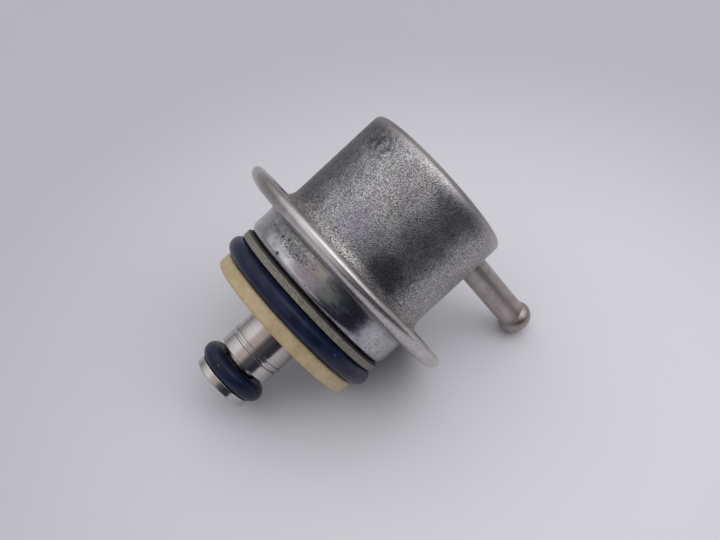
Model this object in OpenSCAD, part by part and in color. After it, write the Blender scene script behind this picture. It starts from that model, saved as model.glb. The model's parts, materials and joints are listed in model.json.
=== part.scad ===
// Fuel pressure regulator: a sprung diaphragm valve in a crimped steel can.
// Each piece is drawn about the regulator's own axis, with height 0 at the flange face that meets
// the fuel rail and the spring cup above it. The whole is then laid on its side, as it comes to rest.

/* [Spring cup] */
// Outside diameter of the drawn cup
cup_od = 24.1; // [22:0.1:26]
// Height of the cup's closed end above the flange's rail face
cup_length = 18.6; // [16:0.05:26]
// Rounding of the closed end's corner
cup_corner = 0.9; // [0.6:0.1:2.5]
// Inside rounding where the cup turns out into its flange
cup_root = 0.9; // [0.4:0.1:1.5]

/* [Crimped flange] */
// Thickness of the steel sheet
sheet_t = 0.55; // [0.4:0.05:0.7]
// Outside diameter of the crimped flange
flange_od = 36.4; // [34:0.1:40]
// Width of the lip rolled over the cup's flange
lip_w = 2.4; // [1.6:0.1:3]

/* [Fuel chamber] */
// Outside diameter of the chamber below the flange
chamber_od = 25.4; // [24:0.1:27]
// Depth of the chamber's shoulder below the flange
chamber_depth = 4.6; // [3.8:0.05:7]
// Rounding of the shoulder's corner
chamber_corner = 1.2; // [0.8:0.1:1.8]
// Inside rounding between the chamber and the flange
chamber_root = 0.6; // [0.3:0.1:1.2]
// Outside diameter of the neck that carries the seals
neck_od = 20.8; // [19:0.1:22]
// How far the neck's end is rolled out to hold the retaining ring
neck_flare = 0.4; // [0.2:0.05:0.6]
// Number of fuel inlet holes in the chamber's end
inlet_count = 6; // [4:1:8]
// Diameter of each inlet hole
inlet_d = 2.2; // [1.2:0.1:2.6]

/* [Seals on the neck] */
// Outside diameter of the back-up washer
washer_od = 25.2; // [24:0.1:26]
// Thickness of the back-up washer
washer_t = 1.25; // [0.8:0.05:2]
// Section diameter of the large O-ring
body_seal_d = 2.75; // [2:0.05:2.8]
// Length of neck left for the large O-ring
body_groove_w = 2.9; // [2.85:0.05:4]
// Outside diameter of the nylon retaining ring
ring_od = 24.2; // [23:0.1:25]
// Thickness of the retaining ring
ring_t = 2.12; // [1.8:0.02:3]
// Rounding of the retaining ring's edges
ring_edge = 0.4; // [0.2:0.05:0.6]
// How far the neck's end lies inside the retaining ring
ring_recess = 0.3; // [0.1:0.05:0.5]

/* [Return spigot] */
// Diameter of the turned shaft
spigot_d = 8.4; // [7.8:0.1:9]
// Length of the spigot beyond the neck's end
spigot_length = 11.65; // [11:0.05:16]
// Diameter of the flange at the tip
tip_d = 8.6; // [8:0.1:9]
// Thickness of the flange at the tip
tip_t = 1.25; // [0.8:0.05:2]
// Length of the groove for the small O-ring
spigot_groove_w = 3.4; // [3:0.05:4]
// Outside diameter of the small O-ring
spigot_seal_od = 10.2; // [9.8:0.1:10.6]
// Section diameter of the small O-ring
spigot_seal_d = 2.62; // [2.2:0.02:2.8]
// Length of the collar behind the small O-ring
collar_w = 1.95; // [1:0.05:2.5]
// Width of the fine groove behind the collar
line_w = 0.3; // [0.2:0.05:0.6]
// Depth of the fine groove
line_depth = 0.3; // [0.1:0.05:0.5]
// Width of the raised ridge behind the fine groove
ridge_w = 0.9; // [0.5:0.05:1.2]
// Height of the ridge above the shaft
ridge_h = 0.12; // [0.05:0.01:0.3]
// Diameter of the return bore
return_bore = 3; // [2.4:0.1:3.2]
// Diameter of the stem that stands inside the chamber
stem_d = 7.2; // [6.8:0.1:7.6]
// Height of the peened collar that fixes the stem to the chamber's end
peen_h = 0.6; // [0.3:0.05:1]

/* [Vacuum pipe] */
// Height of the pipe's axis above the flange's rail face
pipe_height = 14.35; // [13:0.05:15]
// Outside diameter of the pipe
pipe_od = 4.2; // [3.8:0.1:4.6]
// Bore of the pipe
pipe_bore = 2.4; // [1.6:0.1:2.8]
// Distance of the pipe's end from the regulator's axis
pipe_reach = 27.35; // [22:0.05:32]
// Diameter of the bead at the pipe's end
bead_od = 5.15; // [4.8:0.05:5.6]
// Radius of the bead's round section
bead_round = 1.7; // [1.2:0.05:1.9]
// How far the pipe stands inside the cup
pipe_inside = 0.6; // [0.2:0.1:1]
// Radius of the brazed fillet at the pipe's root
braze_r = 0.7; // [0.4:0.05:1]

/* [Diaphragm and spring] */
// Thickness of the rubberised diaphragm
diaphragm_t = 0.45; // [0.2:0.05:0.6]
// Outside diameter of the main spring
spring_od = 15.6; // [14.6:0.1:16.2]
// Diameter of the spring's wire
wire_d = 1.8; // [1.2:0.1:2]
// Turns of the spring, with one dead turn at each end
spring_turns = 6; // [5:0.5:7]
// Thickness of the spring plate
plate_t = 0.6; // [0.4:0.05:1]
// Height of the spring plate's turned-up rim
plate_rim = 1.4; // [0.8:0.1:2]

/* [Valve] */
// Diameter of the valve holder's flange under the diaphragm
holder_d = 12; // [11:0.1:13]
// Thickness of the valve holder's flange
holder_t = 0.9; // [0.6:0.05:1.4]
// Diameter of the holder's boss
boss_d = 5.8; // [5.6:0.1:6.4]
// Height of the holder's boss
boss_h = 0.85; // [0.6:0.05:1.2]
// Diameter of the holder's rivet shank
shank_d = 4.2; // [4:0.1:4.6]
// Height of the peened head on the shank
head_h = 0.6; // [0.4:0.05:1]
// Diameter of the valve ball
ball_d = 3; // [2.8:0.05:3.2]
// How far the ball sinks into the valve plate
ball_sink = 0.45; // [0.3:0.05:0.6]
// Space between the boss and the valve plate
ball_gap = 0.5; // [0.3:0.05:0.8]
// Thickness of the valve plate
valve_t = 0.9; // [0.7:0.05:1.4]
// Thickness of the ball retainer's sheet
retainer_t = 0.25; // [0.15:0.05:0.3]
// Width of the valve seat's ring
seat_w = 0.6; // [0.4:0.05:0.7]
// Height of the valve seat above the stem
seat_h = 0.6; // [0.5:0.05:1]

/* [Fits] */
// Radial clearance of pieces that are pressed, staked or crimped together
fit_gap = 0.03; // [0.02:0.01:0.06]
// Radial clearance of rings that slide over the neck
slip_gap = 0.06; // [0.04:0.01:0.12]
// Play round the valve plate in its retainer
valve_play = 0.15; // [0.1:0.05:0.2]

/* [Hidden] */
$fn = 96;
arc_steps = 8;
overlap = 1;

// Crimped stack: chamber sheet, diaphragm, cup flange and rolled lip
cup_base = sheet_t + diaphragm_t;
flange_t = 3 * sheet_t + diaphragm_t;
nose_r = flange_t / 2;
nose_centre = flange_od / 2 - nose_r;
stack_r = nose_centre - fit_gap;

// Cup
cup_r = cup_od / 2;
cup_inner_r = cup_r - sheet_t;
cup_ceiling = cup_length - sheet_t;

// Chamber, neck and the rings on it, as heights below the flange
chamber_r = chamber_od / 2;
neck_r = neck_od / 2;
neck_root = 0.25;
washer_end = -chamber_depth - washer_t;
seal_end = washer_end - body_groove_w;
ring_end = seal_end - ring_t;
neck_end = ring_end + ring_recess;
neck_floor = neck_end + sheet_t;
// The neck's end narrows if need be, so that the ring keeps a wall of at least 0.8 of its thickness
end_r = min(neck_r, ring_od / 2 - 0.8 * ring_t);
end_start = seal_end + 0.1 * body_groove_w;
end_taper = 0.3 * body_groove_w;
flare_r = end_r + neck_flare;
flare_corner = sheet_t;
flare_start = neck_end + flare_corner + neck_flare;
inlet_pitch_r = (stem_d / 2 + end_r - sheet_t) / 2 + inlet_d / 4;

// Valve group, from the diaphragm down to the seat
boss_base = sheet_t - holder_t;
boss_end = boss_base - boss_h;
valve_top = boss_end - ball_gap;
seat_top = valve_top - valve_t;
ball_r = ball_d / 2;
ball_centre = valve_top - ball_sink + ball_r;
ball_seat_r = ball_r + fit_gap;
retainer_inner_r = boss_d / 2 + fit_gap;
retainer_outer_r = retainer_inner_r + retainer_t;
valve_r = retainer_inner_r - valve_play;
retainer_base = seat_top - fit_gap - retainer_t;
seat_r = return_bore / 2 + seat_w;
stem_top = seat_top - seat_h;
plate_top = cup_base + plate_t;
shank_hole_r = shank_d / 2 + fit_gap;
plate_r = spring_od / 2 + slip_gap + plate_t;

// Spigot, as heights below the flange
stem_r = stem_d / 2;
peen_r = stem_r + peen_h;
spigot_tip = neck_end - spigot_length;
groove_start = spigot_tip + tip_t;
groove_end = groove_start + spigot_groove_w;
line_start = groove_end + collar_w;
ridge_start = line_start + line_w;
ridge_end = ridge_start + ridge_w;
spigot_groove_r = spigot_seal_od / 2 - spigot_seal_d - fit_gap;
edge_break = 0.2;
bore_mouth = 0.4;

// Vacuum pipe, measured out from the regulator's axis
pipe_r = pipe_od / 2;
bead_ring_r = bead_od / 2 - bead_round;
bead_start_angle = -acos((pipe_r - bead_ring_r) / bead_round);
bead_end_angle = acos((pipe_bore / 2 - bead_ring_r) / bead_round);
bead_centre = pipe_reach - bead_round * sin(min(90, bead_end_angle));
pipe_start = cup_inner_r - pipe_inside;

// The regulator lies on its flange and its retaining ring: the tilt brings both to the same depth
ring_contact_r = ring_od / 2 - ring_edge;
ring_contact_z = ring_end + ring_edge;
rest_a = nose_centre - ring_contact_r;
rest_b = nose_r - ring_contact_z;
rest_tilt = acos((ring_edge - nose_r) / norm([rest_a, rest_b])) - atan2(rest_b, rest_a);
rest_depth = nose_centre * cos(rest_tilt) - nose_r * sin(rest_tilt) + nose_r;
// It rolls until the pipe's bead touches too; a pipe too short to touch hangs straight down
bead_depth = rest_depth + pipe_height * sin(rest_tilt) - bead_round;
bead_far = norm([bead_ring_r, bead_centre]);
bead_lean = atan2(bead_ring_r, bead_centre) + acos(min(1, bead_depth / bead_far));
pipe_roll = acos(min(1, cos(bead_lean) / cos(rest_tilt)));

// Points along an arc about a centre
function arc(centre, r, from, to) = [
    for (i = [0 : arc_steps])
        let (a = from + (to - from) * i / arc_steps)
        centre + r * [cos(a), sin(a)]
];

// Turns the upright regulator onto its side, with its axis over +X
module laid() {
    rotate([0, 90 - rest_tilt, 0]) children();
}

// Turns a shape drawn along +Z into the pipe's place and direction
module along_pipe() {
    translate([0, 0, pipe_height]) rotate([0, 90, -pipe_roll]) children();
}

// Flat ring with broken or rounded edges, from one height to another
module ring(inner_r, outer_r, low, high, edge) {
    rotate_extrude()
        polygon(concat(
            [[inner_r, low]],
            arc([outer_r - edge, low + edge], edge, -90, 0),
            arc([outer_r - edge, high - edge], edge, 0, 90),
            [[inner_r, high]]
        ));
}

// Drawn cup with a flange at its mouth, pierced for the vacuum pipe
module spring_cup() {
    root_centre = [cup_r + cup_root, cup_base + sheet_t + cup_root];
    corner_centre = [cup_r - cup_corner, cup_length - cup_corner];
    color([0.55, 0.54, 0.53])
        difference() {
            rotate_extrude()
                polygon(concat(
                    [[stack_r, cup_base], [stack_r, cup_base + sheet_t]],
                    arc(root_centre, cup_root, 270, 180),
                    arc(corner_centre, cup_corner, 0, 90),
                    [[0, cup_length], [0, cup_ceiling]],
                    arc(corner_centre, cup_corner - sheet_t, 90, 0),
                    arc(root_centre, cup_root + sheet_t, 180, 270)
                ));
            along_pipe() cylinder(r = pipe_r + fit_gap, h = cup_r + overlap);
        }
}

// Pipe with a beaded end, brazed into the cup's wall
module vacuum_pipe() {
    braze_centre = [pipe_r, cup_r] + (braze_r - fit_gap) * [1, 1];
    color([0.62, 0.59, 0.56]) {
        along_pipe()
            rotate_extrude()
                polygon(concat(
                    [[pipe_bore / 2, pipe_start], [pipe_r, pipe_start]],
                    arc([bead_ring_r, bead_centre], bead_round, bead_start_angle, bead_end_angle)
                ));
        difference() {
            along_pipe()
                rotate_extrude()
                    polygon(concat(
                        [[pipe_bore / 2 + fit_gap, cup_inner_r], [braze_centre.x, cup_inner_r]],
                        arc(braze_centre, braze_r, 270, 180),
                        [[pipe_bore / 2 + fit_gap, braze_centre.y]]
                    ));
            cylinder(r = cup_r, h = cup_length);
        }
    }
}

// Drawn chamber: crimped rim, shoulder and neck, with the fuel inlets in its end
module fuel_chamber() {
    nose = [nose_centre, nose_r];
    root_centre = [chamber_r + chamber_root, -chamber_root];
    corner_centre = [chamber_r - chamber_corner, -chamber_depth + chamber_corner];
    neck_centre = [neck_r + neck_root, -chamber_depth - neck_root];
    flare_centre = [flare_r - flare_corner, neck_end + flare_corner];
    lip_r = flange_od / 2 - lip_w;
    color([0.66, 0.65, 0.64])
        difference() {
            rotate_extrude()
                polygon(concat(
                    [[lip_r, flange_t]],
                    arc(nose, nose_r, 90, -90),
                    arc(root_centre, chamber_root, 90, 180),
                    arc(corner_centre, chamber_corner, 0, -90),
                    arc(neck_centre, neck_root, 90, 180),
                    [[neck_r, end_start + end_taper], [end_r, end_start], [end_r, flare_start]],
                    arc(flare_centre, flare_corner, 0, -90),
                    [[stem_r + fit_gap, neck_end], [stem_r + fit_gap, neck_floor]],
                    [[end_r - sheet_t, neck_floor], [end_r - sheet_t, end_start]],
                    [[neck_r - sheet_t, end_start + end_taper]],
                    arc(neck_centre, neck_root + sheet_t, 180, 90),
                    arc(corner_centre, chamber_corner - sheet_t, -90, 0),
                    arc(root_centre, chamber_root + sheet_t, 180, 90),
                    arc(nose, nose_r - sheet_t, -90, 90),
                    [[lip_r, flange_t - sheet_t]]
                ));
            for (i = [0 : inlet_count - 1])
                rotate([0, 0, 360 * i / inlet_count])
                    translate([inlet_pitch_r, 0, neck_end - overlap])
                        cylinder(d = inlet_d, h = sheet_t + 2 * overlap);
        }
}

// Turned spigot: tip flange, O-ring groove, collar, fine groove, ridge and shaft, then the stem
// that is peened into the chamber's end and carries the valve seat
module return_spigot() {
    bore_r = return_bore / 2;
    tip_r = tip_d / 2;
    shaft_r = spigot_d / 2;
    color([0.74, 0.72, 0.69])
        rotate_extrude()
            polygon([
                [bore_r + bore_mouth, spigot_tip],
                [tip_r - edge_break, spigot_tip],
                [tip_r, spigot_tip + edge_break],
                [tip_r, groove_start],
                [spigot_groove_r, groove_start],
                [spigot_groove_r, groove_end],
                [shaft_r - edge_break, groove_end],
                [shaft_r, groove_end + edge_break],
                [shaft_r, line_start],
                [shaft_r - line_depth, line_start],
                [shaft_r - line_depth, ridge_start],
                [shaft_r + ridge_h, ridge_start],
                [shaft_r + ridge_h, ridge_end],
                [shaft_r, ridge_end],
                [shaft_r, neck_end],
                [stem_r, neck_end],
                [stem_r, neck_floor],
                [peen_r, neck_floor],
                [stem_r, neck_floor + peen_h],
                [stem_r, stem_top],
                [seat_r, stem_top],
                [seat_r, seat_top],
                [bore_r, seat_top],
                [bore_r, spigot_tip + bore_mouth]
            ]);
}

// Small O-ring against the tip flange
module spigot_seal() {
    color([0.09, 0.09, 0.12])
        translate([0, 0, groove_start + spigot_seal_d / 2 + fit_gap])
            rotate_extrude()
                translate([(spigot_seal_od - spigot_seal_d) / 2, 0])
                    circle(d = spigot_seal_d);
}

// Large O-ring on the neck, between the back-up washer and the retaining ring
module body_seal() {
    color([0.1, 0.11, 0.15])
        translate([0, 0, (washer_end + seal_end) / 2])
            rotate_extrude()
                translate([neck_r + fit_gap + body_seal_d / 2, 0])
                    circle(d = body_seal_d);
}

// Flat washer under the chamber's shoulder
module backup_washer() {
    color([0.4, 0.4, 0.37])
        difference() {
            ring(neck_r + slip_gap, washer_od / 2, washer_end, -chamber_depth, edge_break);
            translate([0, 0, -chamber_depth - neck_root - slip_gap])
                cylinder(r1 = neck_r + slip_gap, r2 = neck_r + neck_root + 2 * slip_gap,
                         h = neck_root + slip_gap);
        }
}

// Nylon ring snapped over the neck's rolled end
module retaining_ring() {
    seat_z = flare_start + slip_gap;
    color([0.8, 0.7, 0.52])
        difference() {
            ring(end_r + slip_gap, ring_od / 2, ring_end, seal_end, ring_edge);
            translate([0, 0, ring_end - overlap])
                cylinder(r = flare_r + slip_gap, h = seat_z - neck_flare - ring_end + overlap);
            translate([0, 0, seat_z - neck_flare])
                cylinder(r1 = flare_r + slip_gap, r2 = end_r + slip_gap, h = neck_flare);
        }
}

// Rubberised diaphragm, crimped at its edge, with one rolled convolution round the spring plate
module diaphragm() {
    roll_outer_r = cup_inner_r - slip_gap;
    roll_inner_r = plate_r + slip_gap;
    roll_centre = [(roll_outer_r + roll_inner_r) / 2, sheet_t];
    roll_r = (roll_outer_r - roll_inner_r) / 2;
    color([0.16, 0.15, 0.15])
        rotate_extrude()
            polygon(concat(
                [[shank_hole_r, sheet_t]],
                arc(roll_centre, roll_r - diaphragm_t, 180, 0),
                [[stack_r, sheet_t], [stack_r, cup_base]],
                [for (p = arc(roll_centre, roll_r, 0, 180)) [p.x, max(p.y, cup_base)]],
                [[shank_hole_r, cup_base]]
            ));
}

// Coil spring between the spring plate and the cup's closed end, swept as a round wire
module main_spring() {
    wire_r = wire_d / 2;
    coil_r = (spring_od - wire_d) / 2;
    rise = cup_ceiling - plate_top - wire_d - 2 * fit_gap;
    dead_rise = wire_d + 2 * fit_gap;
    live_pitch = (rise - 2 * dead_rise) / (spring_turns - 2);
    ring_sides = 10;
    turn_steps = 24;
    rings = round(spring_turns * turn_steps);
    function height(turn) =
        turn < 1 ? dead_rise * turn
        : turn > spring_turns - 1 ? rise - dead_rise * (spring_turns - turn)
        : dead_rise + live_pitch * (turn - 1);
    points = [
        for (i = [0 : rings], j = [0 : ring_sides - 1])
            let (
                turn = spring_turns * i / rings,
                r = coil_r + wire_r * cos(360 * j / ring_sides),
                z = height(turn) + wire_r * sin(360 * j / ring_sides)
            )
            [r * cos(360 * turn), r * sin(360 * turn), z]
    ];
    sides = [
        for (i = [0 : rings - 1], j = [0 : ring_sides - 1], half = [0, 1])
            let (
                a = i * ring_sides + j,
                b = i * ring_sides + (j + 1) % ring_sides
            )
            half == 0 ? [a, b, b + ring_sides] : [a, b + ring_sides, a + ring_sides]
    ];
    ends = [
        [for (j = [ring_sides - 1 : -1 : 0]) j],
        [for (j = [0 : ring_sides - 1]) rings * ring_sides + j]
    ];
    color([0.5, 0.5, 0.52])
        translate([0, 0, plate_top + wire_r + fit_gap])
            polyhedron(points = points, faces = concat(sides, ends));
}

// Pressed plate on the diaphragm, with a rim round the spring's lower turn
module spring_plate() {
    color([0.6, 0.58, 0.5])
        rotate_extrude()
            polygon(concat(
                [[shank_hole_r, cup_base]],
                arc([plate_r - plate_t, cup_base + plate_t], plate_t, -90, 0),
                [[plate_r, cup_base + plate_t + plate_rim]],
                [[plate_r - plate_t, cup_base + plate_t + plate_rim]],
                [[plate_r - plate_t, plate_top], [shank_hole_r, plate_top]]
            ));
}

// Holder riveted through the diaphragm and the spring plate, with a socket for the ball
module valve_holder() {
    shank_r = shank_d / 2;
    head_top = plate_top + head_h;
    color([0.7, 0.66, 0.5])
        difference() {
            rotate_extrude()
                polygon([
                    [0, boss_end],
                    [boss_d / 2, boss_end],
                    [boss_d / 2, boss_base],
                    [holder_d / 2, boss_base],
                    [holder_d / 2, sheet_t],
                    [shank_r, sheet_t],
                    [shank_r, plate_top],
                    [shank_r + head_h, plate_top],
                    [shank_r, head_top],
                    [0, head_top]
                ]);
            translate([0, 0, ball_centre]) sphere(r = ball_seat_r);
            translate([0, 0, boss_end - overlap])
                cylinder(r = ball_seat_r, h = ball_centre - boss_end + overlap);
        }
}

// Ball that lets the valve plate line up with its seat
module valve_ball() {
    color([0.8, 0.8, 0.82])
        translate([0, 0, ball_centre]) sphere(r = ball_r);
}

// Flat valve plate with a pocket for the ball
module valve_plate() {
    color([0.72, 0.72, 0.74])
        difference() {
            translate([0, 0, seat_top]) cylinder(r = valve_r, h = valve_t);
            translate([0, 0, ball_centre]) sphere(r = ball_seat_r);
        }
}

// Thin cup on the holder's boss that keeps the plate and the ball together
module ball_retainer() {
    color([0.64, 0.64, 0.66])
        rotate_extrude()
            polygon([
                [seat_r + valve_play, retainer_base],
                [retainer_outer_r, retainer_base],
                [retainer_outer_r, boss_base],
                [retainer_inner_r, boss_base],
                [retainer_inner_r, retainer_base + retainer_t],
                [seat_r + valve_play, retainer_base + retainer_t]
            ]);
}

laid() spring_cup();
laid() vacuum_pipe();
laid() fuel_chamber();
laid() return_spigot();
laid() spigot_seal();
laid() body_seal();
laid() backup_washer();
laid() retaining_ring();
laid() diaphragm();
laid() main_spring();
laid() spring_plate();
laid() valve_holder();
laid() valve_ball();
laid() valve_plate();
laid() ball_retainer();
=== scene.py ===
import json
import math

import bpy
import numpy as np
from mathutils import Matrix, Vector


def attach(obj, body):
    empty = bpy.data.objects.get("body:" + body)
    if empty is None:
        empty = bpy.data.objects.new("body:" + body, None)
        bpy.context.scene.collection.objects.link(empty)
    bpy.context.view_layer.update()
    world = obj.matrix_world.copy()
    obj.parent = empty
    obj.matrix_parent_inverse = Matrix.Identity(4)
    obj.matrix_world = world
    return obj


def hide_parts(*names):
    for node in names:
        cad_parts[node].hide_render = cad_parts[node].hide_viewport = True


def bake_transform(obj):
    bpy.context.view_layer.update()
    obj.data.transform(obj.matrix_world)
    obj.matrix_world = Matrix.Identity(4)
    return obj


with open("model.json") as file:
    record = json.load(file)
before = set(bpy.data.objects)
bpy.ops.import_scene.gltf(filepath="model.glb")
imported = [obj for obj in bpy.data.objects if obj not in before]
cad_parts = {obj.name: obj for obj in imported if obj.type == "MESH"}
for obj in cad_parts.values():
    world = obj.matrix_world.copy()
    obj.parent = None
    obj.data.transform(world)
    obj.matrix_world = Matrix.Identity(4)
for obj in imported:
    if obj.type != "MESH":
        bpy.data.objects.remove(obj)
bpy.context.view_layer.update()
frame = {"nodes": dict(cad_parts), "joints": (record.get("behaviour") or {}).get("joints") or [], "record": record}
print("frame loaded:", len(frame["nodes"]), "nodes")

# Directions of the regulator, read from the frame
axisDir = np.array(frame["joints"][0]["axis"], float)  # from the spigot towards the cup
sideDir = np.array([0.0, 1.0, 0.0])
downDir = np.cross(sideDir, axisDir)
turnAxes = np.column_stack([downDir, sideDir, axisDir])  # columns: down, side, along
origin = np.zeros(3)

port = next(m for m in frame["record"]["mounts"] if m["name"] == "vacuum_port")
pipeDir = np.array(port["axis"], float)
pipeHeight = 1000 * float(np.dot(port["pos_m"], axisDir))
pipeAxes = np.column_stack([axisDir, np.cross(pipeDir, axisDir), pipeDir])
pipeRoot = axisDir * pipeHeight / 1000

# Shapes, with lengths in mm until a mesh is made
arcStep = 0.13  # largest turn between two points of a rounding, in radians
samePoint = 1e-5
onAxis = 1e-6
sharpAngle = math.radians(55)
noTris = np.zeros((0, 3), int)


def roundedOutline(corners, step):
    # Outline through (radius, height, rounding) corners. Each corner gives way to an arc that is tangent
    # to both its sides, and the straight stretches are cut into pieces no longer than step.
    points = np.array([c[:2] for c in corners], float)
    bits = []
    for i, (r, z, rounding) in enumerate(corners):
        here = points[i]
        if rounding == 0:
            bits.append(here[None])
            continue
        toPrev = points[i - 1] - here
        toNext = points[(i + 1) % len(points)] - here
        toPrev, toNext = toPrev / np.linalg.norm(toPrev), toNext / np.linalg.norm(toNext)
        half = math.acos(np.clip(np.dot(toPrev, toNext), -1, 1)) / 2
        middle = toPrev + toNext
        centre = here + middle / np.linalg.norm(middle) * rounding / math.sin(half)
        first = here + toPrev * rounding / math.tan(half) - centre
        last = here + toNext * rounding / math.tan(half) - centre
        start = math.atan2(first[1], first[0])
        sweep = (math.atan2(last[1], last[0]) - start + math.pi) % (2 * math.pi) - math.pi
        angles = start + sweep * np.linspace(0, 1, max(4, int(abs(sweep) / arcStep) + 2))
        bits.append(centre + rounding * np.column_stack([np.cos(angles), np.sin(angles)]))
    chain = np.vstack(bits)
    gaps = np.linalg.norm(np.roll(chain, -1, 0) - chain, axis=1)
    chain = chain[gaps > samePoint]
    gaps = np.linalg.norm(np.roll(chain, -1, 0) - chain, axis=1)
    cuts = np.maximum(1, np.ceil(gaps / step).astype(int))
    start = np.repeat(np.arange(len(chain)), cuts)
    share = np.concatenate([np.arange(c) / c for c in cuts])[:, None]
    return chain[start] * (1 - share) + np.roll(chain, -1, 0)[start] * share


def meshFrom(name, points, quads, tris):
    # Points in metres and two face lists become one mesh, shaded smooth
    mesh = bpy.data.meshes.new(name)
    loops = np.concatenate([quads.ravel(), tris.ravel()]).astype(np.int32)
    sizes = np.concatenate([np.full(len(quads), 4), np.full(len(tris), 3)]).astype(np.int32)
    starts = np.concatenate([[0], np.cumsum(sizes)[:-1]]).astype(np.int32)
    mesh.vertices.add(len(points))
    mesh.vertices.foreach_set("co", points.astype(np.float32).ravel())
    mesh.loops.add(len(loops))
    mesh.loops.foreach_set("vertex_index", loops)
    mesh.polygons.add(len(sizes))
    mesh.polygons.foreach_set("loop_start", starts)
    mesh.polygons.foreach_set("use_smooth", np.ones(len(sizes), bool))
    mesh.update(calc_edges=True)
    mesh.validate()
    piece = bpy.data.objects.new(name, mesh)
    bpy.context.scene.collection.objects.link(piece)
    return piece


def turnedPiece(name, outline, around, shift=None, axes=turnAxes, centre=origin):
    # P(u, v) = centre + r(v) cos u * X + r(v) sin u * Y + z(v) * Z, with u round the axis and v along a
    # closed outline. shift(u, r, z) returns the changes of r and z. An outline that starts and ends on
    # the axis closes in a single point at each end.
    following = np.roll(outline, -1, 0)
    area = np.sum(outline[:, 0] * following[:, 1] - following[:, 0] * outline[:, 1])
    outline = outline if area > 0 else outline[::-1]
    ends = outline[:, 0] < onAxis
    if ends.any():
        outline = np.roll(outline, -int(np.nonzero(ends & ~np.roll(ends, 1))[0][0]), 0)
    poles = outline[outline[:, 0] < onAxis]
    rows = outline[outline[:, 0] >= onAxis]
    u = np.linspace(0, 2 * math.pi, around, endpoint=False)[None, :]
    r, z = rows[:, :1] + 0 * u, rows[:, 1:] + 0 * u
    if shift is not None:
        dr, dz = shift(u, r, z)
        r, z = r + dr, z + dz
    grid = np.stack([r * np.cos(u), r * np.sin(u), z], -1).reshape(-1, 3)
    count = len(rows)
    i = np.arange(count - 1 if len(poles) else count)[:, None]
    j = np.arange(around)[None, :]
    nextI, nextJ = (i + 1) % count, (j + 1) % around
    quads = np.stack([i * around + j, i * around + nextJ, nextI * around + nextJ, nextI * around + j], -1)
    tris = noTris
    if len(poles):
        ring, after, last = j.ravel(), nextJ.ravel(), (count - 1) * around
        tris = np.vstack([np.stack([0 * ring + len(grid), after, ring], -1),
                          np.stack([last + ring, last + after, 0 * ring + len(grid) + 1], -1)])
        grid = np.vstack([grid, [[0, 0, poles[-1, 1]], [0, 0, poles[0, 1]]]])
    return meshFrom(name, centre + grid @ axes.T / 1000, quads.reshape(-1, 4), tris)


def ripple(seed, turns, depth, pitch):
    # Slow unevenness round and along a piece: a seeded sum of cosines, scaled to 0..1 and taken inwards
    dice = np.random.default_rng(seed)
    waves = [(k, dice.uniform(0, 2 * math.pi), dice.uniform(-1, 1) * pitch) for k in turns]

    def inwards(u, r, z):
        total = sum(np.cos(k * u + phase + lean * z) for k, phase, lean in waves) / len(waves)
        return -depth * (0.5 + 0.5 * total), 0 * z
    return inwards


def turnedFrom(name, corners, v):
    # The corners' outline turned about the main axis, uneven where v says so
    shift = ripple(**v["uneven"]) if "uneven" in v else None
    return turnedPiece(name, roundedOutline(corners, v["step"]), v["around"], shift)


def drillOut(piece, name, radius, start, end, around, axes, centre):
    # Takes a round hole out of the piece and keeps the hole's edges hard
    corners = [(0, start, 0), (radius, start, 0), (radius, end, 0), (0, end, 0)]
    drill = turnedPiece(name, roundedOutline(corners, 1), around, None, axes, centre)
    cut = piece.modifiers.new("cut", "BOOLEAN")
    cut.operation = "DIFFERENCE"
    cut.solver = "EXACT"
    cut.object = drill
    bpy.context.view_layer.update()
    evaluated = piece.evaluated_get(bpy.context.evaluated_depsgraph_get())
    whole = bpy.data.meshes.new_from_object(evaluated)
    piece.modifiers.clear()
    piece.data = whole
    bpy.data.objects.remove(drill)
    whole.set_sharp_from_angle(angle=sharpAngle)


def gridQuads(columns, rows):
    # Faces of a sheet of points that are counted along its columns first
    i, j = np.meshgrid(np.arange(columns), np.arange(rows))
    first = (j * (columns + 1) + i).ravel()
    return np.stack([first, first + 1, first + columns + 2, first + columns + 1], -1)


def dress(piece, node, slot, material, flex=None):
    # flex holds the height where the piece is still and the one where it lifts with the valve; only whether it is
    # given is used: a piece with flex keeps no parent and has its place baked into its mesh
    piece.data.materials.clear()
    piece.data.materials.append(material)
    if flex is None:
        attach(piece, "housing")
    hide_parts(node)
    if flex is not None:
        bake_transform(piece)
    print("piece ready:", piece.name, len(piece.data.polygons), "faces")


# Node helpers, which find the tree from a socket, and shared effects
def put(tree, kind, settings=None, **inputs):
    # A node with its settings, and its inputs joined to a socket or set to a value; n0, n1 name by number
    node = tree.nodes.new("ShaderNode" + kind)
    for key, value in (settings or {}).items():
        setattr(node, key, value)
    for key, value in inputs.items():
        plain = key[1:].isdigit() and key[0] == "n"
        socket = node.inputs[int(key[1:]) if plain else key.replace("_", " ")]
        if isinstance(value, bpy.types.NodeSocket):
            tree.links.new(value, socket)
        else:
            socket.default_value = value
    return node


def sums(operation, a, b, clamp=False):
    settings = {"operation": operation, "use_clamp": clamp}
    return put(a.id_data, "Math", settings, n0=a, n1=b).outputs[0]


def times(a, b, clamp=False):
    return sums("MULTIPLY", a, b, clamp)


def most(a, b):
    return sums("MAXIMUM", a, b)


def vectors(operation, a, b, output="Value"):
    return put(a.id_data, "VectorMath", {"operation": operation}, n0=a, n1=b).outputs[output]


def noise(place, scale, detail, roughness):
    return put(place.id_data, "TexNoise", None, Vector=place, Scale=scale, Detail=detail,
               Roughness=roughness).outputs[0]


def spread(value, low, high, toLow=0.0, toHigh=1.0, smooth=False):
    style = "SMOOTHSTEP" if smooth else "LINEAR"
    return put(value.id_data, "MapRange", {"interpolation_type": style}, Value=value, From_Min=low,
               From_Max=high, To_Min=toLow, To_Max=toHigh).outputs[0]


def blend(factor, first, second):
    return put(factor.id_data, "Mix", {"data_type": "RGBA"}, n0=factor, n6=first, n7=second).outputs[2]


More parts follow.
